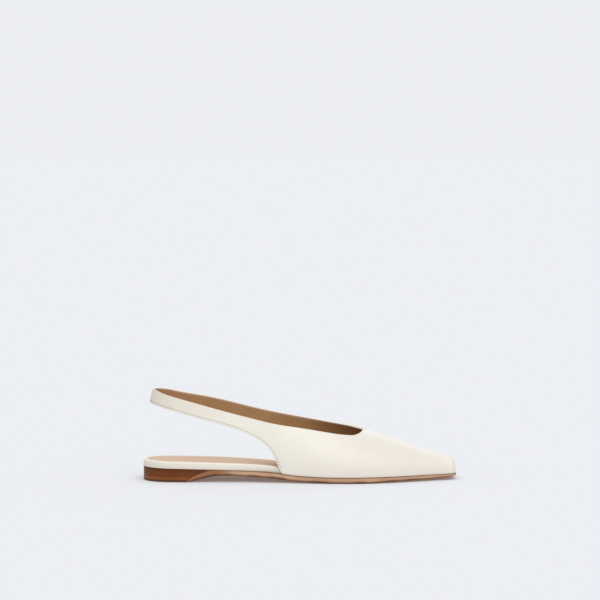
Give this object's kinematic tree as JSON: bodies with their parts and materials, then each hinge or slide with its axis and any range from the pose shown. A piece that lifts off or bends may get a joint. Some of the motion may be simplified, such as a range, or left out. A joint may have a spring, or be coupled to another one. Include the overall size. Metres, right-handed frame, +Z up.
{
  "type": "sling back flat",
  "caption": "Right sling back flat with a square toe: one-piece vamp running into an open sling strap, wrapped footbed, leather outsole and low stacked heel.",
  "frame": {"origin": "On the floor, midway between the back of the heel and the front of the toe, and on the middle line of the heel, which lies within a millimetre of the middle of the shoe's width.", "axes": "+X towards the toe, +Y towards the inner side of the foot, +Z up"},
  "size_m": [0.2677, 0.0762, 0.078],
  "materials": {
    "upper_leather": "smooth cream leather, satin",
    "wrapped_board": "board wrapped in smooth cream leather, satin",
    "sock_leather": "soft tan lining leather, matt",
    "sole_leather": "burnished brown sole leather, semi gloss",
    "stacked_leather": "stacked leather, dark brown, semi gloss",
    "top_piece_rubber": "dark brown rubber, matt"
  },
  "bodies": {
    "root": {"upper": "upper_leather", "footbed": "wrapped_board", "sock": "sock_leather", "outsole": "sole_leather", "heel": "stacked_leather", "heel_top_piece": "top_piece_rubber"}
  },
  "joints": []
}
